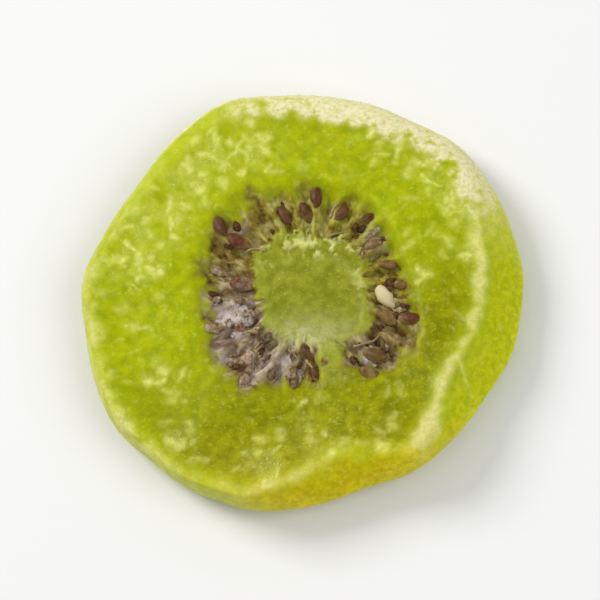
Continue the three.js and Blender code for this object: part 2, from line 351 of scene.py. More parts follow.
def dab_dots():
    """The dots that make up every dab of sugar on the face, as (x, y, half width, amount)."""
    chance = random.Random(12)
    made = []
    for _ in range(DAB_TRIES):
        away, angle = MEAN_RADIUS * math.sqrt(chance.random()), chance.uniform(-math.pi, math.pi)
        x, y = away * math.cos(angle), away * math.sin(angle)
        width, heading = chance.uniform(*DAB_HALF_WIDTHS), chance.uniform(-math.pi, math.pi)
        length, bend = chance.uniform(*DAB_AREAS) / width, chance.uniform(*DAB_BENDS)
        amount, wanted = chance.uniform(*DAB_AMOUNTS), chance.random()
        outside, depth = past_edge(x, y), ring_place(x, y)[1]
        face = face_film(Vector((x, y, 0)), outside, depth)
        amount *= ease(face, -0.4, 0.5)
        if wanted > STRAY_DABS * ease(depth, 1.0, 1.3) + face or outside > -DAB_MARGIN:
            continue
        for i in range(max(round(length / DOT_STEP), 1)):
            from_middle = abs(2 * i * DOT_STEP / length - 1)
            made.append((x, y, width * (1 - DAB_TAPER * from_middle), amount * chance.uniform(*DOT_AMOUNTS)))
            x, y = x + DOT_STEP * math.cos(heading), y + DOT_STEP * math.sin(heading)
            heading += bend * DOT_STEP
    return made


dots = dab_dots()
dot_tree = kdtree.KDTree(len(dots))
for number, (x, y, _, _) in enumerate(dots):
    dot_tree.insert((x, y, 0), number)
dot_tree.balance()


def dab_cover(point):
    """How much a point lies under a dab."""
    swerve = DAB_SWERVE * noise.noise_vector(point * 1.2)
    near = dot_tree.find_range((point.x + swerve.x, point.y + swerve.y, 0), DAB_SIGHT)
    most = max((dots[i][3] * bell(away, dots[i][2]) for _, i, away in near), default=0.0)
    return min(most, 1.0)


# Where the seeds lie. Each chamber may have one in each of two rows: (depth from, depth to, how many of
# the chambers have it). The rows' draws differ on the shown face and on the underside.
SEED_ROWS = ((0.42, 0.97, 0.66), (0.06, 0.5, 0.42))
TOP_DRAWS, UNDER_DRAWS = (29313, 38635), (21, 24)
OFF_CHAMBER, SEED_CLEARANCE = 1.0, 0.1

# A seed's size, how much it varies, and how far seeds turn, tip and roll, each by a draw of its own.
SEED_LENGTH, SEED_WIDTH = 2.35, 1.35
SEED_SIZES, SIZE_DRAW = (0.8, 1.15), 5
SEED_TURNS = ((1.0, 8), (0.5, 7), (0.7, 6))

# One seed on the right lost its dark coat, shows ivory and lies across the ring. It is the one nearest
# to this place.
BARE_SEED_NEAR, BARE_SEED_TURN = (8.4, -0.6), math.radians(110)

# The flesh dried up against each seed in a low collar, and the pulp is darkened along it as painted shade.
COLLAR_HEIGHT, COLLAR_WIDTH = 0.14, 0.3

# A draw is the fraction of a sine made very large. These numbers have no meaning in themselves.
SINE_SCALE, INDEX_STEP, STREAM_STEP = 43758.5453, 12.9898, 78.233


def fraction(x):
    """A number from 0 to 1 that looks random and is the same on every run."""
    large = math.sin(x) * SINE_SCALE
    return large - math.floor(large)


def draw(index, stream, low=0.0, high=1.0):
    return between(low, high, fraction(index * INDEX_STEP + stream * STREAM_STEP))


def seed_places(draws):
    """Where one face's seeds lie, as (x, y, ring angle), with none where the bridge is."""
    places = []
    for chamber in range(CHAMBERS):
        for (start, end, share), first in zip(SEED_ROWS, draws):
            angle = (chamber + draw(chamber, first, -OFF_CHAMBER, OFF_CHAMBER) / 2) / CHAMBERS * 2 * math.pi
            if bridge_share(angle) > SEED_CLEARANCE or draw(chamber, first + 2) > share:
                continue
            depth = draw(chamber, first + 1, start, end)
            places.append((*ring_point(angle, depth), angle))
    return places


bare_seed = min(seed_places(TOP_DRAWS), key=lambda place: math.dist(place[:2], BARE_SEED_NEAR))


def seed_pose(index, place):
    """A seed's size, and its turns about Z, Y and X."""
    heading, tip, roll = (draw(index, stream, -most, most) / 2 for most, stream in SEED_TURNS)
    heading += place[2] + (BARE_SEED_TURN if place == bare_seed else 0.0)
    return draw(index, SIZE_DRAW, *SEED_SIZES), heading, tip, roll


top_seeds = [(*place[:2], *seed_pose(i, place)) for i, place in enumerate(seed_places(TOP_DRAWS))]


def seed_collar(point):
    """1 on the outline of the nearest seed, falling off on both sides."""
    x, y, size, heading, _, _ = min(top_seeds, key=lambda s: (s[0] - point.x) ** 2 + (s[1] - point.y) ** 2)
    along = (point.x - x) * math.cos(heading) + (point.y - y) * math.sin(heading)
    across = (point.y - y) * math.cos(heading) - (point.x - x) * math.sin(heading)
    reach = math.hypot(2 * along / SEED_LENGTH, 2 * across / SEED_WIDTH) / size
    return bell(reach - 1, COLLAR_WIDTH)


# Round the seed ring the dried pulp is olive and clear in some stretches and mauve in others, and it
# reaches further out in some. Its edge is torn, and its colour ran a little way past it.
OLIVE_PULP = ((70, 75, 1.0), (10, 40, 0.7))
MAUVE_PULP = ((-152, 48, 1.0), (-105, 35, 0.35), (-38, 34, 0.4))
FULL_PULP, FULL_REACH = ((-150, 75, 0.3), (-38, 30, 0.25)), 0.4
CHAMBER_REACH, REACH_SWING, MOST_REACH = 0.86, 0.3, 1.06
TEAR_SIZE, TEAR_LIFT, RAGGEDNESS, STAIN_REACH = 1.3, 3, 0.2, 0.4

# The walls between the chambers stray, reach less far out, and stand a little higher.
WALL_STRAY, WALL_LAG, WALL_WIDTH, WALL_HEIGHT = 0.35, 0.1, (0.55, 0.98), 0.1

# Pulp dried in lumps with crags on them. Their pattern runs round the ring's middle line, drawn out
# towards the core: it passes this many millimetres between the core and the ring's outer rim.
RING_MIDDLE, LUMP_REACH, STREAK_REACH = 8.6, 3.6, 2.4
LUMP_SIZE, LUMP_HEIGHT, LUMP_LEVEL, LUMP_GAP = 0.8, 0.18, 0.6, 0.7
LUMP_SHADES = Vector((127.1, 311.7, 74.7))
CRAG_SIZE, CRAG_HEIGHT = 0.8, 0.14


def ring_pattern(angle, along):
    """A place in the pattern of the pulp."""
    return Vector((RING_MIDDLE * math.cos(angle), RING_MIDDLE * math.sin(angle), along))


def lump(angle, depth, at):
    """How high a point stands on its lump of dried pulp, and that lump's shade, both 0 to 1."""
    place = ring_pattern(angle, LUMP_REACH * depth + at.z) / LUMP_SIZE
    near, middles = noise.voronoi(place + 0.5 * noise.noise_vector(at * 1.1))
    return ease(near[1] - near[0], 0.0, LUMP_GAP), fraction(middles[0].dot(LUMP_SHADES))


def chamber_mask(angle, depth, at):
    """How much a point lies in a seed chamber, on the wall between two, and where the pulp's colour ran."""
    turns = angle / (2 * math.pi) * CHAMBERS + WALL_STRAY * noise.noise(at * 0.5)
    off = 2 * abs(turns - round(turns))
    torn = noise.noise(ring_pattern(angle, at.z + TEAR_LIFT) / TEAR_SIZE)
    reach = CHAMBER_REACH + REACH_SWING * torn - WALL_LAG * off**3 + FULL_REACH * stretches(FULL_PULP, angle)
    reach = min(reach, MOST_REACH)
    ragged = depth + RAGGEDNESS * noise.fractal(at * 0.9, 1.0, 2.1, 2)
    in_ring = 1 - bridge_share(angle + 0.2 * noise.noise(at * 0.8))
    inside = ease(ragged, -0.08, 0.08) * (1 - ease(ragged, reach - 0.18, reach + 0.14)) * in_ring
    stain = (1 - ease(ragged, reach, reach + STAIN_REACH)) * in_ring
    return inside, inside * ease(off, *WALL_WIDTH), stain


# The core has a whitish haze on its lower part and on the bridge, and pale fuzz in a broken fringe just
# inside its rim.
HAZE_AT, HAZE_HALF_WIDTHS, HAZE_ON_BRIDGE = (1.0, -4.6), (4.4, 2.0), 0.2
FRINGE, FRINGE_SIZE, FRINGE_HEIGHT = ((88, 74, 1.3), (14, 40, 0.6)), 1.6, 0.12
FRINGE_IN, FRINGE_WIDTH, FRINGE_SHIFT = 0.24, 0.22, Vector((0, 7, 0))


def core_haze(point, angle, depth, chamber):
    across = (point.x - HAZE_AT[0]) / HAZE_HALF_WIDTHS[0]
    along = (point.y - HAZE_AT[1]) / HAZE_HALF_WIDTHS[1]
    on_bridge = HAZE_ON_BRIDGE * bridge_share(angle) * band(depth, 0, 1, 0.2)
    return (1 - chamber * ease(depth, 0.0, 0.4)) * max(math.exp(-(across**2 + along**2)), on_bridge)


def core_fringe(angle, depth, at):
    tufts = ease(noise.fractal(at / FRINGE_SIZE + FRINGE_SHIFT, 0.6, 2.0, 3), -0.05, 0.25)
    return bell(depth + FRINGE_IN, FRINGE_WIDTH) * stretches(FRINGE, angle) * tufts


# The open flesh is pebbled. It is deeper in colour low on the face, more so to the right, brighter at
# the upper left, lighter on the right side as painted light where that side slopes away from the key
# lamp, and amber where syrup browned the lower rim, except on the left.
PEBBLE_SIZE, PEBBLE_HEIGHT, SMALL_PEBBLES = 1.0, 0.04, 0.4
LOW_BY_X, LOW_RIGHT_BY_X, LOW_OVER = 0.35, 0.25, 13
BRIGHT_FLESH, BRIGHT_FROM_RIM = (128, 42, 0.4), (-11, -5)
SIDE_PAINTED_LIGHT = (-15, 75, 1.0)
AMBER_BELOW, AMBER_FROM_RIM, AMBER_FROM_LEFT, LEAST_AMBER = (11, 20), (-4.5, -0.3), (-9, 0), 0.25

# Noise on the underside is taken from this much further up, so that the two faces differ.
UNDER_SHIFT = 40


def low_on_face(point, outside):
    below = LOW_BY_X * point.x + LOW_RIGHT_BY_X * max(point.x, 0) - point.y
    return ease(below, 0, LOW_OVER) * ease(-outside, 0.3, 2.5)


def amber(point, outside_rim, at):
    at_rim = between(LEAST_AMBER, 1, ease(outside_rim, *AMBER_FROM_RIM))
    browned = ease(-point.y, *AMBER_BELOW) * at_rim * (0.8 + 0.6 * noise.noise(at * 0.5))
    return max(browned * between(LEAST_AMBER, 1, ease(point.x, *AMBER_FROM_LEFT)), 0.0)


def finish_point(point, upward):
    """How far the fine relief lifts a point off the plain shape, and what its finish depends on."""
    at = point + Vector((0, 0, 0 if upward else UNDER_SHIFT))
    angle, depth = ring_place(point.x, point.y)
    slice_angle = math.atan2(point.y, point.x)
    outside_rim = past_outline(point.x, point.y)
    outside = past_edge(point.x, point.y) if upward else outside_rim + UNDER_INSET
    chamber, wall, stain = chamber_mask(angle, depth, at)
    open_flesh = 1 - chamber
    lumpy, shade = lump(angle, depth, at) if chamber > 0 else (0.0, 0.5)
    crag = noise.fractal(at / CRAG_SIZE, 0.6, 2.2, 3)
    collar_and_shade = seed_collar(point) if upward and chamber > 0 else 0.0
    fringe = core_fringe(angle, depth, at)
    swerved = outside + RIDGE_SWERVE * noise.noise(point * 0.7)
    face, rim, ridge = face_film(point, outside, depth), rim_film(point, swerved), ridge_film(point, swerved)
    film = clouded_film(at, outside, face, rim, ridge, chamber)
    dab = dab_cover(point) * open_flesh * ease(-outside, -0.3, 0.3)
    pebble = noise.noise(at / PEBBLE_SIZE) + SMALL_PEBBLES * noise.noise(at / PEBBLE_SIZE * 2.3)
    rise = chamber * (CRAG_HEIGHT * crag + LUMP_HEIGHT * (lumpy - LUMP_LEVEL) + COLLAR_HEIGHT * collar_and_shade)
    rise += wall * WALL_HEIGHT * (0.5 + noise.noise(at * 1.3)) + FRINGE_HEIGHT * fringe
    rise += open_flesh * PEBBLE_HEIGHT * pebble + FILM_HEIGHT * max(film, dab)
    return rise, {
        "chamber": chamber,
        "wall": wall,
        "stain": stain,
        # The hollows and collars also carry painted shade for the pulp's colour.
        "hollow_shade": 1 - lumpy,
        "shade": shade,
        "collar_and_shade": collar_and_shade,
        "olive": min(stretches(OLIVE_PULP, angle), 1.0),
        "mauve": min(stretches(MAUVE_PULP, angle), 1.0),
        "sugared": min(patch_cover(SUGARED_PULP, point), 1.0),
        "spoke": ring_pattern(angle, STREAK_REACH * depth),
        "core": 1 - ease(depth + 0.1 * crag, -0.06, 0.1),
        "haze": core_haze(point, angle, depth, chamber),
        "fringe": fringe,
        "low_face": low_on_face(point, outside),
        "bright": ease(outside_rim, *BRIGHT_FROM_RIM) * stretch(slice_angle, *BRIGHT_FLESH),
        # The right side is painted lighter here as painted light, where it slopes away from the key lamp.
        "side": ease(outside, 0.0, 1.5) * stretch(slice_angle, *SIDE_PAINTED_LIGHT),
        "amber": amber(point, outside_rim, at),
        "film": film,
        "dab": dab,
        "rim": ease(max(rim, 0.8 * ridge), 0.1, 0.9),
        "white": ease(rim, 0.4, 1.2),
        "cover": max(face, 0.06, 0.2 * stretch(angle, *BRIDGE)) * ease(depth, 0.1, 0.5) * open_flesh,
    }


verts, faces, masks = [], [], []
columns = [section(2 * math.pi * i / COLUMNS) for i in range(COLUMNS)]
under_rows, side_rows = len(columns[0][0]) - 1, len(columns[0][1])
rows = under_rows + side_rows + len(columns[0][2]) - 1
for under, side, top in columns:
    line = under[1:] + side + top[:-1]
    for i, point in enumerate(line):
        before, after = line[max(i - 1, 0)], line[min(i + 1, rows - 1)]
        around = Vector((-point.y, point.x, 0)).normalized()
        outwards = around.cross((after - before).normalized())
        rise, mask = finish_point(point, i >= under_rows + SIDE_ROWS_DOWN)
        moved = point + outwards * rise
        moved.z = min(max(moved.z, 0.0), HIGHEST)
        verts.append(PLACE + MM * moved)
        masks.append(mask)
for end, upward in ((columns[0][0][0], False), (columns[0][2][-1], True)):
    verts.append(PLACE + MM * end)
    masks.append(finish_point(end, upward)[1])
for i in range(COLUMNS):
    here, there = i * rows, (i + 1) % COLUMNS * rows
    faces.append((COLUMNS * rows, there, here))
    faces += [(here + j, there + j, there + j + 1, here + j + 1) for j in range(rows - 1)]
    faces.append((here + rows - 1, there + rows - 1, COLUMNS * rows + 1))


def new_piece(name, verts, faces, masks, material):
    """A smooth mesh that rides on the slice's body, with a number for each point under each mask's name."""
    mesh = bpy.data.meshes.new(name)
    mesh.from_pydata(verts, [], faces)
    mesh.shade_smooth()
    for key, value in masks[0].items():
        if isinstance(value, Vector):
            layer = mesh.attributes.new(key, "FLOAT_VECTOR", "POINT")
            layer.data.foreach_set("vector", [part for mask in masks for part in mask[key]])
        else:
            layer = mesh.attributes.new(key, "FLOAT", "POINT")
            layer.data.foreach_set("value", [mask[key] for mask in masks])
    mesh.materials.append(material)
    piece = bpy.data.objects.new(name, mesh)
    bpy.context.scene.collection.objects.link(piece)
    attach(piece, "root")
    return piece


def tone(red, green, blue):
    """A colour as it reads in the photograph, 0 to 255 a channel, in Blender's linear light."""
    parts = [v / 255 for v in (red, green, blue)]
    return [v / 12.92 if v <= 0.04045 else ((v + 0.055) / 1.055) ** 2.4 for v in parts] + [1.0]


class Finish:
    """A material of one Principled shader, and the few nodes that these finishes are mixed from."""

    def __init__(self, name, **values):
        self.material = bpy.data.materials.new(name)
        self.material.use_nodes = True
        self.tree = self.material.node_tree
        self.shader = self.tree.nodes["Principled BSDF"]
        self.place = self.tree.nodes.new("ShaderNodeTexCoord").outputs["Object"]
        for socket, value in values.items():
            self.shader.inputs[socket.replace("_", " ")].default_value = value

    def node(self, kind, inputs=(), **settings):
        node = self.tree.nodes.new("ShaderNode" + kind)
        for key, value in settings.items():
            setattr(node, key, value)
        for key, value in dict(inputs).items():
            if isinstance(value, bpy.types.NodeSocket):
                self.tree.links.new(value, node.inputs[key])
            else:
                node.inputs[key].default_value = value
        return node

    def mask(self, name):
        return self.node("Attribute", attribute_name=name).outputs["Fac"]

    def streaks(self, size_mm, detail=3):
        """Noise in streaks that point at the core."""
        spoke = self.node("Attribute", attribute_name="spoke").outputs["Vector"]
        values = {"Vector": spoke, "Scale": 1 / size_mm, "Detail": detail, "Roughness": 0.6}
        return self.node("TexNoise", values).outputs["Fac"]

    def noise(self, size_mm, detail=4, roughness=0.55, distortion=0.0):
        values = {"Vector": self.place, "Scale": 1 / (size_mm * MM), "Detail": detail}
        values.update({"Roughness": roughness, "Distortion": distortion})
        return self.node("TexNoise", values).outputs["Fac"]

    def spread(self, value, low, high, to_low=0.0, to_high=1.0):
        values = {"Value": value, "From Min": low, "From Max": high, "To Min": to_low, "To Max": to_high}
        return self.node("MapRange", values).outputs["Result"]

    def add(self, first, second):
        return self.node("Math", {0: first, 1: second}, operation="ADD").outputs[0]

    def times(self, first, second):
        return self.node("Math", {0: first, 1: second}, operation="MULTIPLY").outputs[0]

    def most(self, first, second):
        return self.node("Math", {0: first, 1: second}, operation="MAXIMUM").outputs[0]

    def blend(self, share, first, second):
        """first where share is 0 and second where it is 1."""
        return self.node("Mix", {0: share, 6: first, 7: second}, data_type="RGBA").outputs[2]

    def send(self, socket, value):
        self.tree.links.new(value, self.shader.inputs[socket])

    def bump(self, height, depth_mm, strength=1.0):
        values = {"Height": height, "Distance": depth_mm * MM, "Strength": strength}
        self.send("Normal", self.node("Bump", values).outputs["Normal"])


flesh = Finish("candied_flesh", Roughness=0.42, Subsurface_Scale=0.002, Specular_IOR_Level=0.15)
flesh.shader.inputs["Subsurface Radius"].default_value = (0.9, 1.0, 0.25)
flesh.shader.inputs["Specular Tint"].default_value = (1.0, 1.0, 0.5, 1.0)

# Clear green flesh, deeper low on the face, amber at the lower rim, and mottled everywhere.
body = flesh.blend(flesh.spread(flesh.noise(1.1, 3), 0.34, 0.66), tone(154, 168, 0), tone(181, 189, 4))
deep = flesh.blend(flesh.spread(flesh.noise(1.0, 4), 0.34, 0.66), tone(126, 130, 0), tone(160, 162, 2))
body = flesh.blend(flesh.mask("low_face"), body, deep)
body = flesh.blend(flesh.mask("bright"), body, tone(186, 196, 22))
mottle = flesh.spread(flesh.noise(0.7, 4, 0.6), 0.36, 0.64)
# Painted light: the right side is lighter where it slopes away from the key lamp.
body = flesh.blend(flesh.mask("side"), body, flesh.blend(mottle, tone(172, 181, 0), tone(202, 205, 18)))
body = flesh.blend(flesh.mask("amber"), body, flesh.blend(mottle, tone(190, 168, 0), tone(218, 202, 24)))
body = flesh.blend(flesh.spread(flesh.noise(0.3, 2), 0.6, 0.74, 0, 0.5), body, tone(202, 208, 62))
body = flesh.blend(flesh.times(flesh.mask("stain"), 0.4), body, tone(136, 130, 20))

# The core, with its fringe of pale fuzz.
core = flesh.blend(flesh.spread(flesh.noise(1.0, 5, 0.6), 0.36, 0.64), tone(130, 136, 22), tone(160, 163, 48))
core = flesh.blend(flesh.spread(flesh.noise(0.28, 2), 0.62, 0.74, 0, 0.7), core, tone(194, 196, 100))
body = flesh.blend(flesh.mask("core"), body, core)
fuzz = flesh.times(flesh.mask("fringe"), flesh.spread(flesh.noise(0.8, 3), 0.34, 0.6, 0.4, 1.0))
body = flesh.blend(fuzz, body, tone(214, 212, 136))

# The pulp of the seed chambers: dark, middling and pale lumps, with painted shade between them and by the
# seeds.
streak = flesh.add(flesh.streaks(0.7, 2), flesh.spread(flesh.mask("shade"), 0, 1, -0.14, 0.2))
streak = flesh.add(streak, flesh.spread(flesh.noise(1.8, 3), 0.35, 0.65, -0.17, 0.17))


def pulp_tones(dark, middling, pale):
    darker = flesh.blend(flesh.spread(streak, 0.3, 0.44), tone(*dark), tone(*middling))
    return flesh.blend(flesh.spread(streak, 0.56, 0.74), darker, tone(*pale))


pulp = pulp_tones((88, 60, 24), (132, 112, 50), (170, 156, 98))
pulp = flesh.blend(flesh.mask("olive"), pulp, pulp_tones((108, 90, 22), (150, 138, 48), (176, 172, 84)))
pulp = flesh.blend(flesh.mask("mauve"), pulp, pulp_tones((80, 44, 30), (134, 108, 80), (204, 184, 162)))
# Painted shade: the pulp darkens in the hollows between its lumps and in the collar round each seed.
shadow = flesh.most(flesh.times(flesh.mask("hollow_shade"), 0.22), flesh.times(flesh.mask("collar_and_shade"), 0.14))
pulp = flesh.blend(shadow, pulp, tone(72, 52, 10))
strand = flesh.times(flesh.mask("wall"), flesh.spread(flesh.streaks(0.7), 0.5, 0.7, 0, 0.5))
pulp = flesh.blend(strand, pulp, tone(180, 168, 102))
frost = flesh.times(flesh.mask("sugared"), flesh.spread(flesh.noise(1.0, 3), 0.34, 0.58, 0.3, 1.0))
pulp = flesh.blend(frost, pulp, tone(214, 202, 194))
body = flesh.blend(flesh.mask("chamber"), body, pulp)

# The whitish haze, in wisps.
wisps = flesh.spread(flesh.noise(0.8, 5, 0.65, 0.8), 0.34, 0.66, 0.2, 1.2)
body = flesh.blend(flesh.times(flesh.mask("haze"), wisps), body, tone(190, 188, 132))

# The film of dried sugar, in clouds, dabs and specks, whitest on the rim.
broken = flesh.spread(flesh.noise(0.45, 4, 0.6), 0.32, 0.66, 0.5, 1.0)
film = flesh.times(flesh.mask("film"), flesh.spread(flesh.mask("rim"), 0, 1, 0.25, 1.0))
film = flesh.times(flesh.most(film, flesh.mask("dab")), broken)
cover = flesh.mask("cover")
specks = flesh.spread(flesh.add(flesh.noise(0.9, 2), flesh.times(cover, 0.1)), 0.58, 0.74, 0, 0.2)
specks = flesh.times(specks, flesh.spread(cover, 0.0, 0.05))
film = flesh.most(film, specks)
body = flesh.blend(film, body, flesh.blend(flesh.mask("rim"), tone(230, 230, 130), tone(228, 219, 150)))
white = flesh.times(flesh.spread(film, 0.4, 1.0, 0, 0.8), flesh.mask("white"))
body = flesh.blend(white, body, tone(242, 234, 208))
flesh.send("Base Color", body)
flesh.send("Subsurface Weight", flesh.spread(film, 0, 1, 0.85, 0.15))
dull_pulp = flesh.spread(flesh.mask("chamber"), 0, 1, 0, 0.6)
flesh.send("Roughness", flesh.most(flesh.spread(film, 0, 1, 0.36, 0.75), dull_pulp))
flesh.bump(flesh.noise(0.25, 4), 0.05, 0.6)

kiwi_flesh = new_piece("kiwi_flesh", verts, faces, masks, flesh.material)
flesh_masks = masks
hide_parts("kiwi_slice")

# THE SEEDS
# Flat, dark drops with their points towards the core, some near the outer end of their chamber and some
# nearer the core. They set fast in the dried flesh, half sunk, a little turned and tipped.

SEED_BANDS, SEED_SIDES = 16, 18
SEED_THICK, SEED_TAPER, SEED_PROUD, FLOOR_GAP = 1.0, 0.3, 0.06, 0.05
SEED_ROUGHNESS, ROUGH_APART = 0.15, 7.0
BARE_SWELL = 0.15

# Sugar dulls the seeds on the left, and some seeds are veiled by dried gel, more of them in these
# stretches. Gel climbs the sides of all of them. Each is a draw of its own.
SHADE_DRAW, SUGAR_DRAW, VEIL_DRAW = 9, 10, 12
SUGARED_SEEDS, MOST_SUGAR = (-155, 70, 1.0), 0.9
VEILED, MOST_VEIL = ((0, 45, 0.3), (180, 45, 0.35), (-40, 35, 0.1), (70, 45, -0.2)), 0.9


def drop_points():
    """A drop one unit long, wide and thick, with its point at -X."""
    points = []
    for i in range(1, SEED_BANDS):
        along = -0.5 * math.cos(math.pi * i / SEED_BANDS)
        girth = 0.5 * math.sin(math.pi * i / SEED_BANDS) * (1 - SEED_TAPER * (0.5 - along) ** 2)
        for j in range(SEED_SIDES):
            turn = 2 * math.pi * j / SEED_SIDES
            points.append(Vector((along, girth * math.cos(turn), girth * math.sin(turn))))
    return points + [Vector((-0.5, 0, 0)), Vector((0.5, 0, 0))]


def drop_faces(first):
    last_ring = first + (SEED_BANDS - 2) * SEED_SIDES
    tip, blunt = first + (SEED_BANDS - 1) * SEED_SIDES, first + (SEED_BANDS - 1) * SEED_SIDES + 1
    made = []
    for j in range(SEED_SIDES):
        k = (j + 1) % SEED_SIDES
        made.append((tip, first + k, first + j))
        made.append((last_ring + j, last_ring + k, blunt))
        for i in range(SEED_BANDS - 2):
            a, b = first + i * SEED_SIDES, first + (i + 1) * SEED_SIDES
            made.append((a + j, a + k, b + k, b + j))
    return made


def seed_sugar(index, x, y, angle):
    by_chance = stretch(angle, *SUGARED_SEEDS) * ease(draw(index, SUGAR_DRAW), 0.4, 0.8)
    return max(by_chance, MOST_SUGAR * min(patch_cover(SUGARED_PULP, Vector((x, y, 0))), 1.0))


def seed_veil(index, angle):
    return MOST_VEIL * ease(draw(index, VEIL_DRAW) + stretches(VEILED, angle), 0.4, 0.85)


verts, faces, masks = [], [], []
for draws, height, facing, first_index in (
    (TOP_DRAWS, top_height, 1, 0),
    (UNDER_DRAWS, under_height, -1, UNDER_DRAWS[0]),
):
    for index, place in enumerate(seed_places(draws), first_index):
        x, y, angle = place
        bare = float(place == bare_seed)
        size, heading, tip, roll = seed_pose(index, place)
        turn = Matrix.Rotation(heading, 3, "Z") @ Matrix.Rotation(tip, 3, "Y") @ Matrix.Rotation(roll, 3, "X")
        swell = 1 + BARE_SWELL * bare
        scale = Matrix.Diagonal((SEED_LENGTH * size, SEED_WIDTH * size, SEED_THICK * size)) * swell
        points = [turn @ scale @ p for p in drop_points()]
        thickest = max(p.z for p in points)
        lift = max(height(x, y) + facing * SEED_PROUD, FLOOR_GAP - min(p.z for p in points))
        film, veil = seed_sugar(index, x, y, angle) * (1 - bare), seed_veil(index, angle) * (1 - bare)
        faces += drop_faces(len(verts))
        for p in points:
            rough = noise.fractal(p * 1.5 + Vector((index * ROUGH_APART, 0, 0)), 0.8, 2.0, 3)
            at = Vector((x, y, lift)) + p * (1 + SEED_ROUGHNESS * rough)
            verts.append(PLACE + MM * at)
            low_part = 1 - ease(abs(p.z) / thickest + 0.35 * noise.noise(at * 1.6), 0.2, 0.75)
            gel_cover = max(veil, low_part * (1 - 0.8 * bare))
            masks.append({"shade": draw(index, SHADE_DRAW), "sugared": film, "bare": bare, "veil": gel_cover})

seed = Finish("seed_coat", Roughness=0.45, Specular_IOR_Level=0.2)
coat = seed.blend(seed.spread(seed.mask("shade"), 0.0, 0.45), tone(66, 34, 14), tone(86, 50, 24))
coat = seed.blend(seed.spread(seed.mask("shade"), 0.5, 0.8), coat, tone(96, 44, 28))
coat = seed.blend(seed.spread(seed.noise(0.45, 4, 0.6), 0.45, 0.7, 0, 0.6), coat, tone(118, 90, 46))
coat = seed.blend(seed.mask("bare"), coat, tone(216, 202, 152))
gel = seed.blend(seed.spread(seed.noise(0.6, 4, 0.6), 0.34, 0.66), tone(100, 70, 34), tone(142, 118, 64))
coat = seed.blend(seed.mask("veil"), coat, gel)
film = seed.times(seed.spread(seed.noise(0.5, 3), 0.4, 0.65), seed.spread(seed.mask("sugared"), 0.3, 0.8))
seed.send("Base Color", seed.blend(seed.spread(film, 0, 1, 0, 0.75), coat, tone(190, 172, 158)))
seed.send("Roughness", seed.spread(film, 0, 1, 0.42, 0.65))
seed.bump(seed.noise(0.14, 3), 0.03, 0.7)
kiwi_seeds = new_piece("kiwi_seeds", verts, faces, masks, seed.material)

# THE DRIED PULP
# Torn scraps of the seed chambers, dried where they lay: cream pieces of the walls, which point at the
# core, brown and mauve crumbs between the seeds, sugared lumps, and pale green fuzz on the core's rim.

# Each kind: how many, between which ring angles and depths, lengths, width by length, and its colour.
SCRAPS = (
    (10, (-180, 180), (0.1, 0.8), (0.8, 1.6), 0.4, (172, 158, 104)),
    (6, (188, 265), (0.1, 0.8), (0.8, 1.6), 0.6, (176, 154, 132)),
    (10, (22, 165), (-0.12, 0.06), (0.5, 1.0), 0.6, (188, 192, 96)),
    (34, (-180, 180), (0.15, 0.9), (0.5, 1.2), 0.6, (94, 64, 34)),
    (14, (178, 262), (0.1, 0.9), (0.8, 1.5), 0.65, (132, 112, 82)),
    (12, (-62, -12), (0.1, 0.9), (0.5, 1.2), 0.55, (98, 70, 38)),
    (6, (-62, -38), (0.3, 1.0), (0.6, 1.2), 0.6, (172, 154, 128)),
    (5, (184, 214), (0.2, 0.8), (1.0, 1.6), 0.8, (190, 178, 166)),
    (2, (38, 48), (0.2, 0.6), (1.8, 2.4), 0.3, (190, 172, 140)),
    (2, (-16, -8), (0.35, 0.6), (1.3, 1.8), 0.4, (206, 192, 150)),
)
SCRAP_WIDTHS, SCRAP_THICK, SCRAP_ROUGHNESS = (0.8, 1.25), 0.45, 0.4
SCRAP_TURN, SCRAP_TIP, SCRAP_LIFTS, SCRAP_SHADES = 0.3, 0.25, (0.0, 0.4), (0.7, 1.2)
SCRAP_CLEARANCE, CORE_RIM_DEPTH = 0.2, 0.1
LOWEST_SCRAP = 0.02
UNDER_SHARE = 0.5

ball = bmesh.new()
bmesh.ops.create_icosphere(ball, subdivisions=2, radius=0.5)
ball_points = [v.co.copy() for v in ball.verts]
ball_faces = [tuple(v.index for v in f.verts) for f in ball.faces]
ball.free()


def scrap(at, heading, length, width, thick, tint, chance):
    """Adds one rough scrap, longest along its heading."""
    first = len(verts)
    away = Vector([chance.uniform(0, 90) for _ in range(3)])
    turn = Matrix.Rotation(heading, 3, "Z") @ Matrix.Rotation(chance.gauss(0, SCRAP_TIP), 3, "Y")
    for p in ball_points:
        rough = 1 + SCRAP_ROUGHNESS * noise.fractal(p * 2.0 + away, 0.8, 2.0, 3)
        q = turn @ Vector((p.x * length, p.y * width, p.z * thick)) * rough + at
        q.z = max(q.z, LOWEST_SCRAP)
        verts.append(PLACE + MM * q)
        masks.append({"tint": tint})
    faces.extend(tuple(first + i for i in f) for f in ball_faces)


scraps = random.Random(8)
verts, faces, masks = [], [], []
for facing, height, share in ((1, top_height, 1.0), (-1, under_height, UNDER_SHARE)):
    for count, angles, depths, lengths, slim, colour in SCRAPS:
        made = 0
        while made < count * share:
            angle, depth = math.radians(scraps.uniform(*angles)), scraps.uniform(*depths)
            if bridge_share(angle) > SCRAP_CLEARANCE:
                # Scraps that would lie on the bridge are drawn again, but fuzz on the core's rim isn't.
                made += 1 if depth < CORE_RIM_DEPTH else 0
                continue
            x, y = ring_point(angle, depth)
            length = scraps.uniform(*lengths)
            width = length * slim * scraps.uniform(*SCRAP_WIDTHS)
            thick = width * SCRAP_THICK
            at = Vector((x, y, height(x, y) + facing * thick * scraps.uniform(*SCRAP_LIFTS)))
            tint = Vector(tone(*colour)[:3]) * scraps.uniform(*SCRAP_SHADES)
            scrap(at, angle + scraps.gauss(0, SCRAP_TURN), length, width, thick, tint, scraps)
            made += 1

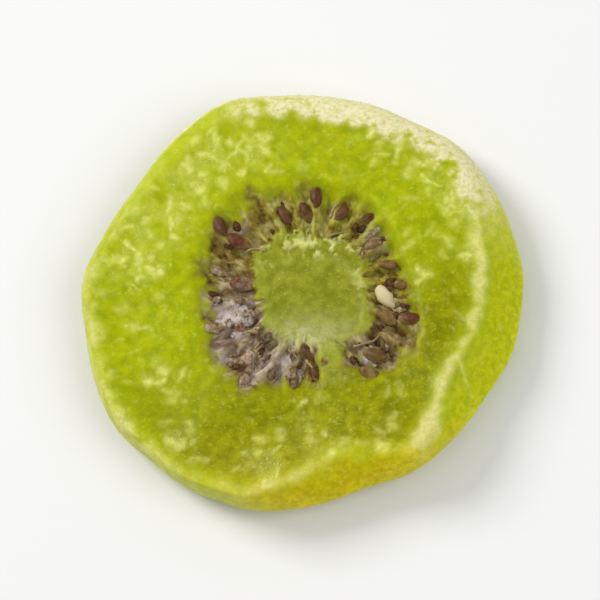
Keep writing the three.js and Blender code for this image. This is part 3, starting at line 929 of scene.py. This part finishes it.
dried = Finish("dried_pulp", Roughness=0.65, Specular_IOR_Level=0.15)
dried.shader.inputs["Subsurface Weight"].default_value = 0.3
dried.shader.inputs["Subsurface Scale"].default_value = 0.0005
tint = dried.node("Attribute", attribute_name="tint").outputs["Color"]
shaded = dried.node("Mix", {0: 1.0, 6: tint, 7: tone(150, 130, 110)}, data_type="RGBA", blend_type="MULTIPLY")
dried.send("Base Color", dried.blend(dried.spread(dried.noise(0.3, 3), 0.36, 0.56), shaded.outputs[2], tint))
dried.bump(dried.noise(0.12, 3), 0.03, 0.6)
dried_pulp = new_piece("dried_pulp", verts, faces, masks, dried.material)

# THE THREADS
# Fine pale fibres of the chamber walls that came loose as the slice was cut. They run out from the
# core between the seeds, dried down onto the flesh.

# Each kind: how many, at which depths they start, how much of the ring they cross, and how thick.
THREADS = ((11, (-0.1, 0.45), (0.2, 0.5), (0.2, 0.42)), (4, (-0.15, 0.2), (0.3, 0.7), (0.05, 0.09)))
THREAD_SIDES, THREAD_STEPS = 6, 10
THREAD_STRAY, THREAD_LEAN, THREAD_SWAY, THREAD_CLEARANCE = 0.25, 0.15, 0.014, 0.3
THREAD_LIFT, THREAD_ARCH, THREAD_TAPER, THREAD_KNOTS = 0.04, 0.1, 0.8, 0.3
WHOLE_TURN = 6.3


def thread(line, radii, shade):
    """Adds a thin tube along a line of points, closed at its ends."""
    first = len(verts)
    for i, point in enumerate(line):
        along = (line[min(i + 1, len(line) - 1)] - line[max(i - 1, 0)]).normalized()
        side = along.cross(Vector((0, 0, 1))).normalized()
        up = side.cross(along)
        for j in range(THREAD_SIDES):
            turn = 2 * math.pi * j / THREAD_SIDES
            verts.append(PLACE + MM * (point + radii[i] * (side * math.cos(turn) + up * math.sin(turn))))
            masks.append({"shade": shade})
    for i in range(len(line) - 1):
        for j in range(THREAD_SIDES):
            k = (j + 1) % THREAD_SIDES
            a, b = first + i * THREAD_SIDES, first + (i + 1) * THREAD_SIDES
            faces.append((a + k, a + j, b + j, b + k))
    faces.append(tuple(range(first, first + THREAD_SIDES)))
    faces.append(tuple(reversed(range(len(verts) - THREAD_SIDES, len(verts)))))


def thread_line(angle, start, length, lean, sway, thick):
    """A thread's points, and its radius at each: thick with knots near the core, and fine outside."""
    line, radii = [], []
    for i in range(THREAD_STEPS):
        share = i / (THREAD_STEPS - 1)
        turned = angle + lean * (share - 0.5) + THREAD_SWAY * math.sin(sway + 6 * share)
        x, y = ring_point(turned, start + length * share)
        line.append(Vector((x, y, top_height(x, y) + THREAD_LIFT + THREAD_ARCH * math.sin(math.pi * share))))
        knots = 1 + THREAD_KNOTS * math.sin(sway * 3 + 11 * share)
        radii.append(thick / 2 * (1 - THREAD_TAPER * share**2) * knots)
    return line, radii


threads = random.Random(5)
verts, faces, masks = [], [], []
for count, starts, lengths, thicknesses in THREADS:
    for _ in range(count):
        wall_number = threads.randrange(CHAMBERS) + 0.5 + threads.gauss(0, THREAD_STRAY)
        angle = wall_number / CHAMBERS * 2 * math.pi
        if bridge_share(angle) > THREAD_CLEARANCE:
            continue
        start, length = threads.uniform(*starts), threads.uniform(*lengths)
        lean, sway = threads.gauss(0, THREAD_LEAN), threads.uniform(0, WHOLE_TURN)
        thick = threads.uniform(*thicknesses)
        thread(*thread_line(angle, start, length, lean, sway, thick), threads.random())

wall_tissue = Finish("wall_tissue", Roughness=0.5, Subsurface_Weight=0.4, Subsurface_Scale=0.0005)
pale = wall_tissue.blend(wall_tissue.mask("shade"), tone(132, 114, 64), tone(176, 160, 116))
patchy = wall_tissue.spread(wall_tissue.noise(0.6), 0.4, 0.7)
wall_tissue.send("Base Color", wall_tissue.blend(patchy, pale, tone(140, 124, 84)))
wall_threads = new_piece("wall_threads", verts, faces, masks, wall_tissue.material)

# THE SUGAR
# Fine grains of sugar that came out of the syrup as the slice dried. They cling to the whitest film
# and to the rim, half sunk in the sticky flesh. Each is an octahedron, a little uneven.

GRAINS, GRAIN_SIZES, GRAIN_CROWDING = 3200, (0.07, 0.2), 4
GRAIN_CORNERS = ((1, 0, 0), (-1, 0, 0), (0, 1, 0), (0, -1, 0), (0, 0, 0.7), (0, 0, -0.7))
GRAIN_UNEVENNESS, GRAIN_LIFT, GRAIN_ROOM = (0.8, 1.2), 0.1, 0.1
GRAINS_ON_DABS = 0.6

sugar = random.Random(3)
surface = kiwi_flesh.data
film_at = [max(mask["film"], GRAINS_ON_DABS * mask["dab"]) for mask in flesh_masks]


def grain_chance(polygon):
    """How likely a grain lies on a face of the flesh: by its area, and far more in thick film."""
    thickness = sum(film_at[v] for v in polygon.vertices) / len(polygon.vertices)
    return polygon.area * thickness**GRAIN_CROWDING


totals = list(accumulate(grain_chance(polygon) for polygon in surface.polygons))
verts, faces, masks = [], [], []
for _ in range(GRAINS):
    polygon = surface.polygons[bisect(totals, sugar.random() * totals[-1])]
    parts = [sugar.random() for _ in polygon.vertices]
    corners = [surface.vertices[v].co for v in polygon.vertices]
    middle = sum((corner * part for corner, part in zip(corners, parts)), Vector()) / sum(parts)
    size = sugar.triangular(*GRAIN_SIZES, GRAIN_SIZES[0]) * MM
    turn = Matrix.Rotation(sugar.uniform(0, WHOLE_TURN), 3, Vector([sugar.gauss(0, 1) for _ in range(3)]))
    first = len(verts)
    shade = sugar.random()
    for corner in GRAIN_CORNERS:
        p = Vector(corner) * size / 2 * sugar.uniform(*GRAIN_UNEVENNESS)
        at = middle + turn @ p + polygon.normal * size * GRAIN_LIFT
        at.z = min(max(at.z, slice_low.z), slice_low.z + MM * (HIGHEST + GRAIN_ROOM))
        verts.append(at)
        masks.append({"shade": shade})
    for a, b in ((0, 2), (2, 1), (1, 3), (3, 0)):
        faces.append((first + a, first + b, first + 4))
        faces.append((first + b, first + a, first + 5))

crystal = Finish("sugar", Roughness=0.7, Specular_IOR_Level=0.08)
crystal.shader.inputs["Subsurface Weight"].default_value = 0.3
crystal.shader.inputs["Subsurface Scale"].default_value = 0.0003
crystal.send("Base Color", crystal.blend(crystal.mask("shade"), tone(208, 214, 92), tone(238, 234, 156)))
sugar_grains = new_piece("sugar_grains", verts, faces, masks, crystal.material)
sugar_grains.data.shade_flat()

# THE STAGE
# A plain pale floor under soft studio light, and a long lens that looks down on the slice as the
# photograph does: from the lower right, 22 degrees off upright.

TILT, TILT_AXIS = math.radians(22), Vector((math.cos(math.radians(26)), math.sin(math.radians(26)), 0))
CAMERA_DISTANCE = 0.6
SENSOR = 36.0

# The frame is as wide as this many pixels of the photograph, half of it, at this many to a millimetre.
FRAME_PIXELS, PIXELS_PER_MM = 300, 5.045
FRAME_WIDTH = FRAME_PIXELS / PIXELS_PER_MM * MM

FLOOR_WIDTH, FLOOR_TONE = 4, (0.87, 0.87, 0.86, 1)
DAYLIGHT = 0.48

bpy.ops.mesh.primitive_plane_add(size=FLOOR_WIDTH, location=(0, 0, 0))
floor = bpy.context.object
floor.name = "floor"
paper = Finish("paper", Roughness=0.9)
paper.shader.inputs["Base Color"].default_value = FLOOR_TONE
floor.data.materials.append(paper.material)


def soft_light(name, place, size, watts, colour):
    lamp = bpy.data.lights.new(name, "AREA")
    lamp.shape, lamp.size, lamp.energy, lamp.color = "DISK", size, watts, colour
    light = bpy.data.objects.new(name, lamp)
    light.location = place
    light.rotation_euler = (-Vector(place)).to_track_quat("-Z", "Y").to_euler()
    bpy.context.scene.collection.objects.link(light)


soft_light("key", (-0.5, 0.3, 0.45), 0.35, 3.5, (1.0, 0.99, 0.97))
soft_light("fill", (0.45, -0.15, 0.5), 0.5, 1.6, (0.98, 0.99, 1.0))
world = bpy.data.worlds.new("studio")
world.use_nodes = True
world.node_tree.nodes["Background"].inputs["Color"].default_value = (1, 1, 1, 1)
world.node_tree.nodes["Background"].inputs["Strength"].default_value = DAYLIGHT
bpy.context.scene.world = world

view = bpy.context.scene.view_settings
view.view_transform = "Standard"

lens = bpy.data.cameras.new("camera")
lens.sensor_width = SENSOR
lens.lens = SENSOR * CAMERA_DISTANCE / FRAME_WIDTH
lens.clip_start = 0.01
camera = bpy.data.objects.new("camera", lens)
turn = Matrix.Rotation(TILT, 4, TILT_AXIS)
target = (slice_low + slice_high) / 2
camera.matrix_world = Matrix.Translation(target + turn.to_3x3() @ Vector((0, 0, CAMERA_DISTANCE))) @ turn
bpy.context.scene.collection.objects.link(camera)
bpy.context.scene.camera = camera
